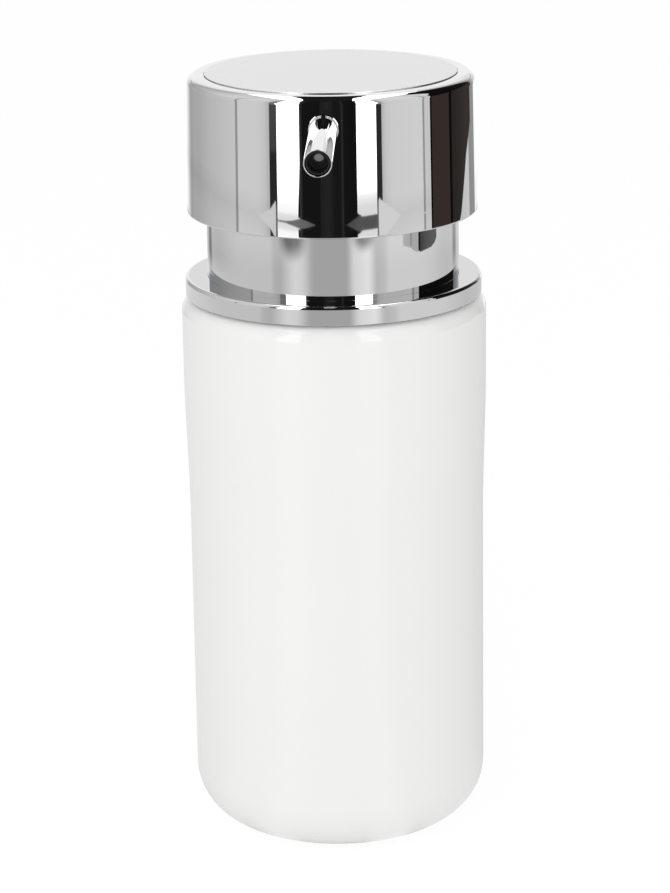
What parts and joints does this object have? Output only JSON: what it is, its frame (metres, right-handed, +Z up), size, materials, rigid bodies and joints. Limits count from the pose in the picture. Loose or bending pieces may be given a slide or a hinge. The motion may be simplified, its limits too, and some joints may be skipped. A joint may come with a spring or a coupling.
{
  "type": "soap dispenser",
  "caption": "Countertop liquid soap dispenser: glazed ceramic bottle, chrome collar and drum-shaped push-down pump head with a short tubular spout.",
  "frame": {"origin": "on the dispenser's axis, on the surface that it stands on", "axes": "+Z up along the axis, -Y the way the spout points, +X to the right seen from the spout's side"},
  "size_m": [0.0698, 0.0924, 0.1778],
  "materials": {
    "white_glaze": "gloss",
    "bright_chrome": "polished",
    "satin_chrome": "satin",
    "black_plastic": "satin",
    "white_plastic": "satin",
    "clear_plastic": "satin",
    "soft_seal": "matte",
    "spring_steel": "satin"
  },
  "bodies": {
    "bottle_body": {"bottle": "white_glaze", "neck_insert": "white_plastic"},
    "pump_body": {"flange_ring": "bright_chrome", "collar_sleeve": "bright_chrome", "neck_gasket": "soft_seal", "closure_plug": "white_plastic", "housing_gasket": "soft_seal", "pump_housing": "clear_plastic", "stem_guide": "white_plastic", "return_spring": "spring_steel", "spring_seat": "white_plastic", "dip_tube": "clear_plastic"},
    "inlet_ball_body": {"inlet_ball": "spring_steel"},
    "piston_body": {"stem": "white_plastic", "piston_seal": "soft_seal", "piston_retainer": "white_plastic"},
    "outlet_ball_body": {"outlet_ball": "spring_steel"},
    "head_body": {"head_shell": "bright_chrome", "top_disc": "satin_chrome", "actuator_core": "white_plastic", "spout_tube": "bright_chrome", "nozzle_liner": "black_plastic", "soap_tube": "clear_plastic"}
  },
  "joints": [
    {"name": "pump_lift", "type": "slide", "parent": "bottle_body", "child": "pump_body", "axis": [0, 0, 1], "range_m": [0, 0.135]},
    {"name": "head_press", "type": "slide", "parent": "pump_body", "child": "piston_body", "axis": [0, 0, -1], "range_m": [0, 0.0105], "stiffness_N_per_m": 700, "springref_m": -0.005, "deforming": ["return_spring"]},
    {"name": "head_swivel", "type": "hinge", "parent": "piston_body", "child": "head_body", "pos_m": [0, 0, 0.16], "axis": [0, 0, 1], "continuous": true},
    {"name": "inlet_ball_lift", "type": "slide", "parent": "pump_body", "child": "inlet_ball_body", "axis": [0, 0, 1], "range_m": [0, 0.0015]},
    {"name": "outlet_ball_lift", "type": "slide", "parent": "piston_body", "child": "outlet_ball_body", "axis": [0, 0, 1], "range_m": [0, 0.0015]}
  ]
}
